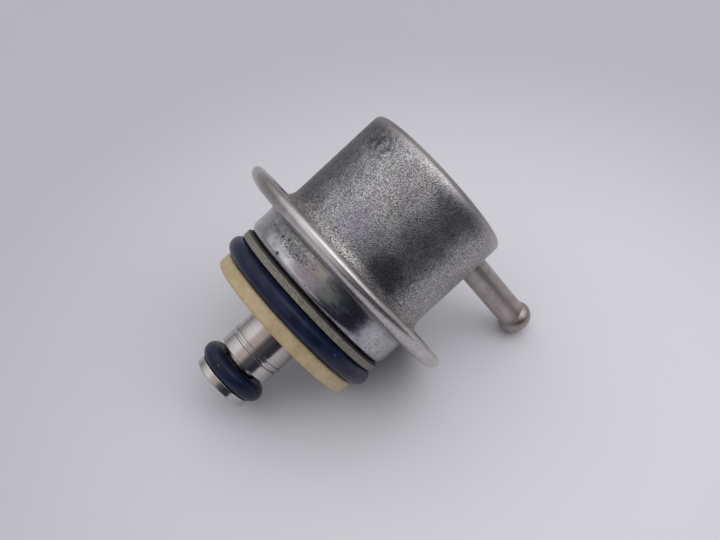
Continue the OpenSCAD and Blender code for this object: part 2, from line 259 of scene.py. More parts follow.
def tone(hexCode):
    # A colour as it is read off a screen, made linear by the sRGB curve
    parts = np.array([int(hexCode[k:k + 2], 16) for k in (0, 2, 4)]) / 255
    return tuple(np.where(parts <= 0.04045, parts / 12.92, ((parts + 0.055) / 1.055) ** 2.4)) + (1.0,)


def tint(colour, mask, share, hexCode):
    # The colour, turned towards another by a share of the mask
    return blend(times(mask, share), colour, tone(hexCode))


def effect(name, **inputs):
    # An empty node group with a place, named numbers or vectors and one value out; gives the tree, its
    # inputs and its output socket
    tree = bpy.data.node_groups.new(name, "ShaderNodeTree")
    for label, value in {"Vector": noWhere, **inputs}.items():
        kind = "NodeSocketVector" if isinstance(value, tuple) else "NodeSocketFloat"
        tree.interface.new_socket(name=label, in_out="INPUT", socket_type=kind).default_value = value
    tree.interface.new_socket(name="Value", in_out="OUTPUT", socket_type="NodeSocketFloat")
    given = tree.nodes.new("NodeGroupInput").outputs
    return tree, given, tree.nodes.new("NodeGroupOutput").inputs[0]


def reader(place, v):
    # Gives a function that reads an effect at the place, with the settings that v keeps under a key
    def see(group, key):
        return put(place.id_data, "Group", {"node_tree": group}, Vector=place, **v[key]).outputs[0]
    return see


noWhere = (0.0, 0.0, 0.0)

# Fine speckle: noise with a chosen grain size, stretched between two levels
grain, given, result = effect("grain", Scale=3.0, Low=0.35, High=0.65)
speck = noise(given["Vector"], given["Scale"], detail=4.0, roughness=0.62)
grain.links.new(spread(speck, given["Low"], given["High"]), result)

# Marks left by turning or drawing: noise that changes fast along the axis and slowly round it, or the reverse
strokes, given, result = effect("strokes", Along=6.0, Across=0.15, Low=0.3, High=0.7)
across = given["Across"]
pull = put(strokes, "CombineXYZ", None, X=across, Y=across, Z=given["Along"]).outputs[0]
pulled = vectors("MULTIPLY", given["Vector"], pull, "Vector")
streak = noise(pulled, 1.0, detail=5.0, roughness=0.6)
strokes.links.new(spread(streak, given["Low"], given["High"]), result)

# A ragged patch round one point
patch, given, result = effect("patch", Centre=noWhere, Reach=2.0, Ragged=1.0, Scale=1.0)
away = vectors("DISTANCE", given["Vector"], given["Centre"])
frayed = noise(given["Vector"], given["Scale"], detail=4.0, roughness=0.65)
swing = times(sums("SUBTRACT", frayed, 0.5), given["Ragged"])
share = sums("ADD", sums("DIVIDE", away, given["Reach"]), swing)
patch.links.new(spread(share, 0.25, 1.0, 1.0, 0.0, True), result)

# A soft-edged level along one direction, with a wandering edge
level, given, result = effect("level", Direction=(0.0, 0.0, 1.0), Start=0.0, End=1.0, Wander=0.5)
along = vectors("DOT_PRODUCT", given["Vector"], given["Direction"])
drift = noise(given["Vector"], 0.9, detail=4.0, roughness=0.6)
wander = times(sums("SUBTRACT", drift, 0.5), given["Wander"])
moved = sums("ADD", along, wander)
level.links.new(spread(moved, given["Start"], given["End"], 0.0, 1.0, True), result)

# Scattered small pits: cells with a chance of holding one, round and of uneven size
pits, given, result = effect("pits", Scale=1.0, Share=0.2, Size=0.3)
cell = put(pits, "TexVoronoi", None, Vector=given["Vector"], Scale=given["Scale"]).outputs
chance = put(pits, "SeparateColor", None, Color=cell["Color"]).outputs
size = times(given["Size"], sums("ADD", chance[1], 0.3))
dot = spread(sums("DIVIDE", cell["Distance"], size), 0.55, 1.0, 1.0, 0.0, True)
pits.links.new(times(dot, sums("LESS_THAN", chance[0], given["Share"])), result)
print("effects ready")


def startMaterial(name, v, metallic, axes=turnAxes, centre=origin):
    # A Principled material, its reader of effects and the place on the piece, which is in mm and turned so
    # that Z runs along the axis
    material = bpy.data.materials.new(name)
    material.use_nodes = True
    tree = material.node_tree
    shader = tree.nodes["Principled BSDF"]
    shader.inputs["Metallic"].default_value = metallic
    for key, value in v.get("fixed", {}).items():
        shader.inputs[key].default_value = value
    turn = Matrix(axes.T.tolist())
    shiftMm = -(turn @ Vector(centre)) * 1000
    where = put(tree, "TexCoord").outputs["Object"]
    place = put(tree, "Mapping", {"vector_type": "POINT"}, Vector=where, Location=shiftMm,
                Rotation=turn.to_euler("XYZ"), Scale=(1000, 1000, 1000)).outputs[0]
    return material, shader, reader(place, v), place


def finishMaterial(shader, colour, roughness, height, depthMm):
    tree = shader.id_data
    tree.links.new(colour, shader.inputs["Base Color"])
    tree.links.new(roughness, shader.inputs["Roughness"])
    bump = put(tree, "Bump", None, Strength=1.0, Distance=depthMm / 1000, Height=height)
    tree.links.new(bump.outputs[0], shader.inputs["Normal"])


def onRound(radius, degrees, height):
    # A point on a turned piece: the angle runs from below (0) over the near side (-90) to the top (180)
    a = math.radians(degrees)
    return (radius * math.cos(a), radius * math.sin(a), height)


# Spring cup: drawn steel, dull and speckled, grimy at its root
cupValues = dict(
    radius=12.04, length=18.595, wall=0.55, corner=0.9, root=2.1, flange=17.1, flangeEdge=0.1, base=1.0,
    step=0.45, around=240, uneven=dict(seed=3, turns=(2, 3, 5), depth=0.03, pitch=0.2),
    hole=dict(radius=2.13, start=9, end=14, around=64),
    light="e2e0e2", mid="77757b", dark="4b4a52", pore="29262c", grime="474042", violet="7d7998",
    green="7f8c7e", rootDark="342d29", rootLight="c6beb5", darkReflection="1c1c32", worn="beb7b6", warm="d2cbc4",
    speckle=dict(Scale=5.6, Low=0.4, High=0.6), pores=dict(Scale=4.8, Low=0.54, High=0.64),
    cloud=dict(Scale=0.3, Low=0.38, High=0.62), mottle=dict(Scale=2.0, Low=0.48, High=0.64),
    clots=dict(Scale=1.0, Low=0.4, High=0.66), drawn=dict(Along=0.12, Across=1.6),
    violetCloud=dict(Scale=0.2, Low=0.5, High=0.66), greenCloud=dict(Scale=0.27, Low=0.47, High=0.34),
    violetSpot=dict(Centre=onRound(12, -156, 6.0), Reach=4.5, Ragged=1.0, Scale=0.5),
    greenSpot=dict(Centre=onRound(12, -139, 4.4), Reach=3.2, Ragged=1.2, Scale=0.7),
    blot=dict(Centre=onRound(12, 170, 16.2), Reach=4.0, Ragged=1.4, Scale=0.6),
    burn=dict(Centre=onRound(12, -126, 4.2), Reach=4.6, Ragged=1.3, Scale=0.6),
    upper=dict(Direction=onRound(1, 140, 0), Start=8.4, End=12.4, Wander=5.0),
    lower=dict(Direction=onRound(1, -76, 0), Start=9.8, End=12.0, Wander=1.6),
    band=dict(Direction=onRound(1, -122, 0), Start=11.2, End=12.0, Wander=1.4),
    sandy=dict(Start=4.6, End=1.8, Wander=2.6), endLevel=dict(Start=16.7, End=18.0, Wander=1.0),
    endRing=(9.4, 11.3), roughLow=0.3, roughHigh=0.46,
    rollStart=16.3, rollReach=2, rollBend=0.12, grainDeep=0.016, grainWorn=0.004,
    shares=dict(drawn=0.2, clouds=0.26, violetCloud=0.14, violetSpot=0.34, green=0.24, upper=0.7, blots=0.8,
                pores=0.6, lower=0.4, sandy=0.68, band=0.36, burn=0.68, worn=0.55))


def makeCup(v):
    # An outline of (radius, height, rounding) corners turned about the axis, less the pipe's hole
    inner, top, flangeTop = v["radius"] - v["wall"], v["length"], v["base"] + v["wall"]
    corners = [(0, top, 0), (v["radius"], top, v["corner"]), (v["radius"], flangeTop, v["root"]),
               (v["flange"], flangeTop, v["flangeEdge"]), (v["flange"], v["base"], v["flangeEdge"]),
               (inner, v["base"], v["root"] + v["wall"]), (inner, top - v["wall"], v["corner"] - v["wall"]),
               (0, top - v["wall"], 0)]
    cup = turnedFrom("springCup", corners, v)
    drillOut(cup, "pipeHole", axes=pipeAxes, centre=pipeRoot, **v["hole"])
    return cup


def cupSteel(v):
    material, shader, see, place = startMaterial("cupSteel", v, 1.0)
    share = v["shares"]
    speckle = see(grain, "speckle")
    colour = blend(speckle, tone(v["mid"]), tone(v["light"]))
    colour = tint(colour, see(strokes, "drawn"), share["drawn"], v["mid"])
    clouds = sums("ADD", see(grain, "cloud"), see(grain, "mottle"))
    colour = tint(colour, clouds, share["clouds"], v["dark"])
    # thin oxide tints in broad clouds, and two plain ones on the near side
    violet = most(times(see(grain, "violetCloud"), share["violetCloud"]),
                  times(see(patch, "violetSpot"), share["violetSpot"]))
    colour = blend(violet, colour, tone(v["violet"]))
    green = most(see(grain, "greenCloud"), see(patch, "greenSpot"))
    colour = tint(colour, green, share["green"], v["green"])
    # the upper side is dirtier, and so is a place near the closed end
    colour = tint(colour, see(level, "upper"), share["upper"], v["grime"])
    blots = times(see(patch, "blot"), see(grain, "clots"))
    colour = tint(colour, blots, share["blots"], v["pore"])
    colour = tint(colour, see(grain, "pores"), share["pores"], v["pore"])
    # warm below, sandy at the root, and a painted dark reflection in a band and a patch along the near side
    lower = times(see(level, "lower"), share["lower"])
    colour = blend(lower, colour, blend(speckle, tone(v["mid"]), tone(v["warm"])))
    sandy = times(see(level, "sandy"), share["sandy"])
    colour = blend(sandy, colour, blend(speckle, tone(v["rootDark"]), tone(v["rootLight"])))
    # painted dark reflection: a navy band and patch on the near side
    darkReflection = most(times(see(level, "band"), share["band"]), times(see(patch, "burn"), share["burn"]))
    colour = blend(darkReflection, colour, tone(v["darkReflection"]))
    # the corner at the closed end is worn smooth and paler
    across = vectors("MULTIPLY", place, (1.0, 1.0, 0.0), "Vector")
    off = vectors("LENGTH", across, noWhere)
    worn = times(see(level, "endLevel"), spread(off, *v["endRing"], smooth=True))
    colour = tint(colour, worn, share["worn"], v["worn"])
    rough = spread(speckle, 0, 1, v["roughHigh"], v["roughLow"])
    # height in mm: the grain, and a slow roll of the wall towards the closed end
    along = put(place.id_data, "SeparateXYZ", None, Vector=place).outputs["Z"]
    roll = spread(along, v["rollStart"], v["rollStart"] + v["rollReach"], 0, v["rollReach"])
    roll = times(times(roll, roll), v["rollBend"])
    bumps = times(speckle, spread(worn, 0, 1, v["grainDeep"], v["grainWorn"]))
    finishMaterial(shader, colour, rough, sums("SUBTRACT", bumps, roll), 1.0)
    return material


# Fuel chamber: drawn steel with the rim crimped over the cup, satin, pitted under the flange
chamberValues = dict(
    rim=18.19, lip=15.8, lipTop=2.095, sheet=0.55, bottom=0.005, widest=1.38, noseTop=1.0, noseLow=2.1,
    noseSteps=25, radius=12.69, shoulder=4.6, corner=1.2, root=0.6, neck=10.39, flare=0.4, end=10.57,
    stemHole=3.63, holes=6, holePitch=7.275, holeRadius=1.1, holePast=1, holeAround=40,
    step=0.5, around=240, uneven=dict(seed=7, turns=(2, 3, 7), depth=0.015, pitch=0.1),
    light="cdcbcd", mid="adabaf", dark="312f34", grime="54493f", navyReflectionTone="3c4460", pale="c3d3be",
    violet="9083a0", bright="efedef", brown="6c645f", beige="d2c3b4", edge="dad2cc",
    squat=(1.0, 1.0, 3.0), rolled=dict(Along=5.0, Across=0.2), mottle=dict(Scale=0.8, Low=0.35, High=0.65),
    fine=dict(Scale=5.0, Low=0.36, High=0.64), pepper=dict(Scale=3.2, Low=0.52, High=0.66),
    pocks=dict(Scale=4.6, Low=0.48, High=0.6), wall=dict(Start=0.1, End=-0.3, Wander=0.0),
    blue=dict(Direction=onRound(1, -125, 0), Start=11.7, End=12.7, Wander=1.0),
    glint=dict(Centre=onRound(12.7, -142, -7.0), Reach=4.0, Ragged=2.2, Scale=0.7),
    flush=dict(Centre=onRound(12.7, -154, -8.4), Reach=4.0, Ragged=2.0, Scale=0.7),
    lower=dict(Direction=onRound(1, -84, 0), Start=8.6, End=12.2, Wander=3.0),
    strip=dict(Centre=onRound(12.7, -176, -4.4), Reach=6.2, Ragged=1.5, Scale=0.9), fleckRange=(0.55, 0.85),
    streakOne=dict(Centre=onRound(12.7, 174, -3.4), Reach=3.8, Ragged=1.8, Scale=1.0),
    streakTwo=dict(Centre=onRound(12.7, -171, -5.0), Reach=3.6, Ragged=1.8, Scale=1.0), streakGain=1.8,
    coarsePits=dict(Scale=1.8, Share=0.55, Size=0.38), finePits=dict(Scale=3.4, Share=0.5, Size=0.4),
    pitFloor=0.42, spots=dict(Scale=1.6, Share=0.08, Size=0.2),
    bigSpot=dict(Centre=onRound(12.7, -179, -3.6), Reach=0.42, Ragged=0.9, Scale=3.0),
    under=dict(Start=-1.1, End=-0.1, Wander=0.8), above=dict(Start=0.15, End=0.0, Wander=0.0),
    lipLevel=dict(Start=1.1, End=2.2, Wander=1.6), rimLevel=dict(Start=0.0, End=0.2, Wander=0.0),
    dull=dict(Centre=onRound(18.2, 168, 1.0), Reach=6.5, Ragged=0.8, Scale=0.6),
    shine=dict(Centre=onRound(18.2, -157, 1.0), Reach=5.5, Ragged=0.6, Scale=0.6),
    foot=dict(Centre=onRound(18.2, -66, 1.0), Reach=9.0, Ragged=0.9, Scale=0.6),
    roughLow=0.15, roughHigh=0.29, rimRough=0.1, filmRough=0.3, rolledHeight=0.25, dirtDepth=0.4, bump=0.012,
    shares=dict(rolled=0.2, fine=0.15, blue=0.5, glint=0.55, flush=0.5, pepper=0.75, strip=0.48, flecks=0.85,
                pocks=0.75, spots=0.7, dirt=0.92, under=0.5, lip=0.2, rim=0.4, dull=0.5, shine=0.4,
                scuffs=0.75, scuffPits=0.5, film=0.6))


def makeChamber(v):
    # An outline of corners turned about the axis, less the inlet holes
    t = v["sheet"]
    inner, low, flareTop = v["radius"] - t, -v["shoulder"], -v["end"] + t + v["flare"]
    neckIn, flareOut, end = v["neck"] - t, v["neck"] + v["flare"], -v["end"]
    # the rolled rim is two quarter ellipses that meet at its widest height, the lower one longer
    turn = np.linspace(math.pi / 2, -math.pi / 2, v["noseSteps"])
    length = np.where(turn > 0, v["noseTop"], v["noseLow"])
    half = np.where(turn > 0, v["lipTop"] - v["widest"], v["widest"] - v["bottom"])
    noseR, noseZ = v["rim"] - length * (1 - np.cos(turn)), v["widest"] + half * np.sin(turn)
    corners = [(v["lip"], v["lipTop"], 0.12), *np.column_stack([noseR, noseZ, 0 * turn]).tolist(),
               (v["radius"], v["bottom"], v["root"]), (v["radius"], low, v["corner"]), (v["neck"], low, 0.25),
               (v["neck"], flareTop, 0.2), (flareOut, flareTop - v["flare"], 0.1), (flareOut, end, 0.45),
               (v["stemHole"], end, 0.05), (v["stemHole"], end + t, 0.05), (neckIn, end + t, 0.3),
               (neckIn, low + t, 0.8), (inner, low + t, v["corner"] - t), (inner, t, v["root"] + t),
               (v["rim"] - t, t, 0.4), (v["rim"] - t, v["lipTop"] - t, 0.4), (v["lip"], v["lipTop"] - t, 0.1)]
    chamber = turnedFrom("fuelChamber", corners, v)
    for turn in np.arange(v["holes"]) * 2 * math.pi / v["holes"]:
        spot = np.array([v["holePitch"] * math.cos(turn), v["holePitch"] * math.sin(turn), 0])
        drillOut(chamber, "inletHole", v["holeRadius"], end - v["holePast"], end + t + v["holePast"],
                 v["holeAround"], turnAxes, origin + turnAxes @ spot / 1000)
    return chamber


def chamberSteel(v):
    material, shader, see, place = startMaterial("chamberSteel", v, 1.0)
    share = v["shares"]
    seeSquat = reader(vectors("MULTIPLY", place, v["squat"], "Vector"), v)
    fine = see(grain, "fine")
    rolled = see(strokes, "rolled")
    colour = blend(see(grain, "mottle"), tone(v["mid"]), tone(v["light"]))
    colour = tint(colour, rolled, share["rolled"], v["mid"])
    colour = tint(colour, fine, share["fine"], v["dark"])
    # painted reflections on the near side: a navy band, a pale glint and a violet patch
    blue = times(see(level, "blue"), see(level, "wall"))
    colour = tint(colour, blue, share["blue"], v["navyReflectionTone"])
    glint = seeSquat(patch, "glint")
    colour = tint(colour, glint, share["glint"], v["pale"])
    colour = tint(colour, seeSquat(patch, "flush"), share["flush"], v["violet"])
    # the lower side is peppered with dark specks
    pepper = times(see(level, "lower"), see(grain, "pepper"))
    colour = tint(colour, pepper, share["pepper"], v["grime"])
    # black pits in a strip below the flange, and a few single ones
    strip = seeSquat(patch, "strip")
    pocks = see(grain, "pocks")
    colour = tint(colour, strip, share["strip"], v["dark"])
    flecks = times(strip, spread(fine, *v["fleckRange"]))
    colour = tint(colour, flecks, share["flecks"], v["bright"])
    streaks = most(seeSquat(patch, "streakOne"), seeSquat(patch, "streakTwo"))
    clots = most(see(pits, "coarsePits"), see(pits, "finePits"))
    clotted = times(times(streaks, v["streakGain"], True), most(clots, v["pitFloor"]))
    dirt = most(times(times(strip, pocks), share["pocks"]), clotted)
    spots = times(see(pits, "spots"), share["spots"])
    dirt = most(dirt, most(spots, see(patch, "bigSpot")))
    colour = tint(colour, dirt, share["dirt"], v["dark"])
    # darker and browner in the crease under the flange and along the lip
    under = times(see(level, "under"), see(level, "above"))
    lip = times(see(level, "lipLevel"), share["lip"])
    crease = most(times(under, share["under"]), lip)
    colour = blend(crease, colour, tone(v["grime"]))
    # the rim is brown towards the top, has a painted highlight on the near side and is scuffed below
    rim = see(level, "rimLevel")
    dull, shine, scuffs = (times(see(patch, k), rim) for k in ("dull", "shine", "foot"))
    colour = tint(colour, rim, share["rim"], v["edge"])
    colour = tint(colour, dull, share["dull"], v["brown"])
    colour = tint(colour, shine, share["shine"], v["bright"])
    scuffed = blend(fine, tone(v["beige"]), tone(v["bright"]))
    colour = blend(times(scuffs, share["scuffs"]), colour, scuffed)
    colour = tint(colour, times(scuffs, pocks), share["scuffPits"], v["brown"])
    rough = spread(fine, 0, 1, v["roughLow"], v["roughHigh"])
    rough = sums("ADD", rough, times(rim, v["rimRough"]))
    film = most(most(dirt, crease), times(most(glint, scuffs), share["film"]))
    rough = sums("ADD", rough, times(film, v["filmRough"]), True)
    height = sums("SUBTRACT", times(rolled, v["rolledHeight"]), times(dirt, v["dirtDepth"]))
    finishMaterial(shader, colour, rough, height, v["bump"])
    return material


# Return spigot: turned bar with fine tool marks
spigotValues = dict(
    tip=-22.215, tipRadius=4.295, tipEdge=0.2, tipEnd=-20.97, grooveRadius=2.45, grooveEnd=-17.57,
    radius=4.195, lineStart=-15.72, lineDepth=0.3, ridgeStart=-15.32, ridgeEnd=-14.86, ridge=0.115,
    scoreEnd=-14.64, score=0.14, shoulder=-10.57, floor=-10.02, stem=3.6, peen=0.6, stemTop=-3.2,
    seatRadius=2.1, seat=-2.6, bore=1.5, mouth=0.4, step=0.3, around=160,
    light="c8c4c2", dark="b6b1af", stain="877870",
    tooled=dict(Along=7.0, Across=0.12), hair=dict(Along=20.0, Across=0.4),
    worn=dict(Scale=1.4, Low=0.35, High=0.65), near=dict(Start=-13.6, End=-11.2, Wander=1.2),
    wornShare=0.2, nearShare=0.35, roughLow=0.11, roughHigh=0.2, tooledHeight=0.6, hairHeight=0.4,
    bump=0.0008)


def makeSpigot(v):
    # An outline of corners turned about the axis: flange, groove, collar, fine line, ridge, score, stem, bore
    r, tip, stem, seat, bore = (v[k] for k in ("radius", "tip", "stem", "seatRadius", "bore"))
    line, ridge, score = r - v["lineDepth"], r + v["ridge"], r - v["score"]
    corners = [(bore + v["mouth"], tip, 0.05), (v["tipRadius"] - v["tipEdge"], tip, 0.05),
               (v["tipRadius"], tip + v["tipEdge"], 0.05), (v["tipRadius"], v["tipEnd"], 0.1),
               (v["grooveRadius"], v["tipEnd"], 0.15), (v["grooveRadius"], v["grooveEnd"], 0.15),
               (r, v["grooveEnd"], 0.16), (r, v["lineStart"], 0.07), (line, v["lineStart"], 0.06),
               (line, v["ridgeStart"], 0.06), (ridge, v["ridgeStart"], 0.1), (ridge, v["ridgeEnd"], 0.08),
               (score, v["ridgeEnd"], 0.03), (score, v["scoreEnd"], 0.03), (r, v["scoreEnd"], 0.05),
               (r, v["shoulder"], 0.06), (stem, v["shoulder"], 0.03), (stem, v["floor"], 0.03),
               (stem + v["peen"], v["floor"], 0.1), (stem, v["floor"] + v["peen"], 0.1),
               (stem, v["stemTop"], 0.15), (seat, v["stemTop"], 0.1), (seat, v["seat"], 0.06),
               (bore, v["seat"], 0.06), (bore, tip + v["mouth"], 0.05)]
    return turnedFrom("returnSpigot", corners, v)


def turnedSteel(v):
    material, shader, see, _ = startMaterial("turnedSteel", v, 1.0)
    tooled = see(strokes, "tooled")
    hair = see(strokes, "hair")
    colour = blend(tooled, tone(v["dark"]), tone(v["light"]))
    colour = tint(colour, see(grain, "worn"), v["wornShare"], v["dark"])
    colour = tint(colour, see(level, "near"), v["nearShare"], v["stain"])
    rough = spread(hair, 0, 1, v["roughLow"], v["roughHigh"])
    height = sums("ADD", times(tooled, v["tooledHeight"]), times(hair, v["hairHeight"]))
    finishMaterial(shader, colour, rough, height, v["bump"])
    return material


# O-rings: black rubber with a soft broad sheen and a little lint
sealValues = dict(
    body=dict(radius=11.805, height=-7.3, section=1.37, around=240),
    tip=dict(radius=3.79, height=-19.63, section=1.305, around=160), sectionPoints=56,
    black="070f29", sheen="151f40", lint="9a9aa0", fixed={"Specular IOR Level": 0.3},
    fine=dict(Scale=5.0, Low=0.35, High=0.65), film=dict(Scale=0.5, Low=0.38, High=0.62),
    lintPits=dict(Scale=1.0, Share=0.1, Size=0.1), lintShare=0.6, roughLow=0.27, roughHigh=0.43, bump=0.004)


def makeSeal(name, v, radius, height, section, around):
    # A circle of the section's radius, with q round it, turned about the axis
    q = np.linspace(0, 2 * math.pi, v["sectionPoints"], endpoint=False)
    outline = np.column_stack([radius + section * np.cos(q), height + section * np.sin(q)])
    return turnedPiece(name, outline, around)


def sealRubber(v):
    material, shader, see, _ = startMaterial("sealRubber", v, 0.0)
    fine = see(grain, "fine")
    colour = blend(see(grain, "film"), tone(v["black"]), tone(v["sheen"]))
    colour = tint(colour, see(pits, "lintPits"), v["lintShare"], v["lint"])
    rough = spread(fine, 0, 1, v["roughLow"], v["roughHigh"])
    finishMaterial(shader, colour, rough, fine, v["bump"])
    return material


# Back-up washer: grey fibre, wound in layers that show at its rim
washerValues = dict(
    inner=10.46, outer=12.59, low=-5.845, high=-4.605, layers=2, notch=0.05, notchWidth=0.07, bevel=0.3,
    bevelDown=0.25, step=0.3, around=240, uneven=dict(seed=11, turns=(3, 5, 9), depth=0.03, pitch=0.4),
    light="a09a90", dark="645f58", shade="1a1918", fibre=dict(Along=4.0, Across=2.4),
    fine=dict(Scale=5.0, Low=0.3, High=0.7), crevice=dict(Start=-4.98, End=-4.8, Wander=0.15),
    fineShare=0.4, creviceShare=0.85, roughLow=0.5, roughHigh=0.7, fineHeight=0.5, bump=0.008)


def makeWasher(v):
    # A ring's outline turned about the axis, with a shallow notch between its layers
    inner, outer, low, high, wide = (v[k] for k in ("inner", "outer", "low", "high", "notchWidth"))
    corners = [(inner, low, 0.05), (outer, low, 0.1)]
    for k in range(1, v["layers"]):
        at = low + k * (high - low) / v["layers"]
        corners += [(outer, at - wide, 0.04), (outer - v["notch"], at, 0.03), (outer, at + wide, 0.04)]
    corners += [(outer, high - v["bevelDown"], 0.1), (outer - v["bevel"], high, 0.08),
                (inner + v["bevel"], high, 0.03), (inner, high - v["bevel"], 0.03)]
    return turnedFrom("backupWasher", corners, v)


def washerFibre(v):
    material, shader, see, _ = startMaterial("washerFibre", v, 0.0)
    fibre = see(strokes, "fibre")
    fine = see(grain, "fine")
    colour = blend(fibre, tone(v["dark"]), tone(v["light"]))
    colour = tint(colour, fine, v["fineShare"], v["dark"])
    # painted shade in the crevice on the chamber side
    colour = tint(colour, see(level, "crevice"), v["creviceShare"], v["shade"])
    rough = spread(fine, 0, 1, v["roughLow"], v["roughHigh"])
    height = sums("ADD", fibre, times(fine, v["fineHeight"]))
    finishMaterial(shader, colour, rough, height, v["bump"])
    return material


# Retaining ring: moulded nylon, beige and slightly mottled
ringValues = dict(
    inner=10.46, outer=12.095, low=-10.865, high=-8.755, edge=0.4, seat=10.86, seatTop=-9.16, seatSlope=0.4,
    step=0.3, around=480, uneven=dict(seed=17, turns=(2, 3, 4), depth=0.02, pitch=0.3),
    light="c8b48f", mid="b49f7a", stain="866f4f",
    fixed={"Subsurface Weight": 0.12, "Subsurface Scale": 0.0006, "Subsurface Radius": (1.0, 0.8, 0.5)},
    mottle=dict(Scale=0.9, Low=0.36, High=0.64), fine=dict(Scale=6.0, Low=0.3, High=0.7),
    stains=dict(Scale=0.45, Low=0.54, High=0.7), spots=dict(Scale=1.5, Share=0.18, Size=0.13),
    fineShare=0.4, stainShare=0.35, spotShare=0.5, roughLow=0.34, roughHigh=0.52,
    mottleHeight=0.6, fineHeight=0.4, bump=0.012)


def makeRing(v):
    # A ring's outline turned about the axis, sloped inside where it seats on the neck
    corners = [(v["seat"], v["low"], 0.1), (v["outer"], v["low"], v["edge"]),
               (v["outer"], v["high"], v["edge"]), (v["inner"], v["high"], 0.06),
               (v["inner"], v["seatTop"], 0.03), (v["seat"], v["seatTop"] - v["seatSlope"], 0.03)]
    return turnedFrom("retainingRing", corners, v)


def ringNylon(v):
    material, shader, see, _ = startMaterial("ringNylon", v, 0.0)
    mottle = see(grain, "mottle")
    fine = see(grain, "fine")
    stains = sums("ADD", see(grain, "stains"), times(fine, v["fineShare"]))
    colour = blend(mottle, tone(v["mid"]), tone(v["light"]))
    colour = tint(colour, stains, v["stainShare"], v["stain"])
    colour = tint(colour, see(pits, "spots"), v["spotShare"], v["stain"])
    rough = spread(fine, 0, 1, v["roughLow"], v["roughHigh"])
    height = sums("ADD", times(mottle, v["mottleHeight"]), times(fine, v["fineHeight"]))
    finishMaterial(shader, colour, rough, height, v["bump"])
    return material


# Vacuum pipe: drawn tube with a beaded end and a brazed fillet that follows the cup
pipeValues = dict(
    radius=2.095, bore=1.2, start=10.9, cupRadius=12.04, braze=0.68, brazeSink=0.02, brazeSteps=10,
    skirtIn=0.5, skirtOut=0.45, saddleFrom=0.6, beadRing=0.875, beadCentre=25.68, beadRound=1.683,
    beadLip=0.12, beadSteps=30, tubeFrom=0.1, tubeTo=0.05, tubeSteps=40, mouthOut=0.03,
    mouthDown=(0.06, 0.2, 0.6), boreSteps=30, around=96,
    light="c3bab6", mid="9d9490", dark="4c4442", heat="8a7d70",
    drawn=dict(Along=0.25, Across=4.0), fine=dict(Scale=5.0, Low=0.3, High=0.7),
    mottle=dict(Scale=0.7, Low=0.35, High=0.65), spots=dict(Scale=1.3, Share=0.1, Size=0.16),
    warm=dict(Start=15.0, End=12.2, Wander=1.5), bead=dict(Start=23.2, End=24.8, Wander=0.8),
    lightShare=0.5, warmShare=0.4, beadShare=0.35, spotShare=0.7, roughLow=0.3, roughHigh=0.44,
    fineHeight=0.5, drawnHeight=0.5, bump=0.008)


def makePipe(v):
    # P(u, v) = root + rho(v) cos u * X + rho(v) sin u * Y + s(v) * Z. Near the cup s drops by
    # cupRadius - sqrt(cupRadius^2 - (rho sin u)^2), so that the fillet's foot lies on the cup's round side.
    foot, radius, braze = v["cupRadius"], v["radius"], v["braze"]
    turn = np.linspace(0, math.pi / 2, v["brazeSteps"])
    hollow = foot - v["brazeSink"] + braze * (1 - np.cos(turn))
    fillet = np.column_stack([radius + braze * (1 - np.sin(turn)), hollow])
    beadStart = -math.acos((radius - v["beadRing"]) / v["beadRound"])
    beadStop = math.acos((v["bore"] + v["beadLip"] - v["beadRing"]) / v["beadRound"])
    sweep = np.linspace(beadStart, beadStop, v["beadSteps"])
    bead = v["beadRound"] * np.column_stack([np.cos(sweep), np.sin(sweep)]) + [v["beadRing"], v["beadCentre"]]
    rise = np.linspace(foot + braze + v["tubeFrom"], bead[0, 1] - v["tubeTo"], v["tubeSteps"])
    edge, lip, depth = (bead[-1, 1] - down for down in v["mouthDown"])
    mouth = [[v["bore"] + v["mouthOut"], edge], [v["bore"], lip]]
    fall = np.linspace(depth, v["start"], v["boreSteps"])
    skirt = [[radius, v["start"]], [radius, foot - v["skirtIn"]], [radius + braze, foot - v["skirtOut"]]]
    outline = np.vstack([skirt, fillet, np.column_stack([0 * rise + radius, rise]), bead, mouth,
                         np.column_stack([0 * fall + v["bore"], fall])])

    def saddle(u, r, z):
        weight = np.clip((foot + braze - z) / braze, 0, 1) * (z > foot - v["saddleFrom"])
        return 0 * r, weight * (np.sqrt(foot ** 2 - (r * np.sin(u)) ** 2) - foot)
    return turnedPiece("vacuumPipe", outline, v["around"], saddle, pipeAxes, pipeRoot)


def pipeSteel(v):
    material, shader, see, _ = startMaterial("pipeSteel", v, 1.0, pipeAxes, pipeRoot)
    drawn = see(strokes, "drawn")
    fine = see(grain, "fine")
    mixed = sums("ADD", drawn, see(grain, "mottle"))
    colour = blend(times(mixed, v["lightShare"]), tone(v["mid"]), tone(v["light"]))
    stained = most(times(see(level, "warm"), v["warmShare"]), times(see(level, "bead"), v["beadShare"]))
    colour = blend(stained, colour, tone(v["heat"]))
    colour = tint(colour, see(pits, "spots"), v["spotShare"], v["dark"])
    rough = spread(fine, 0, 1, v["roughLow"], v["roughHigh"])
    height = sums("ADD", times(fine, v["fineHeight"]), times(drawn, v["drawnHeight"]))
    finishMaterial(shader, colour, rough, height, v["bump"])
    return material


# Main spring: its upper end is still and its lower end lifts with the valve
springValues = dict(coil=6.9, wire=0.9, low=1.63, high=18.02, turns=6, dead=1.86, around=16, steps=64,
                    flex=(14.42, 5.23))


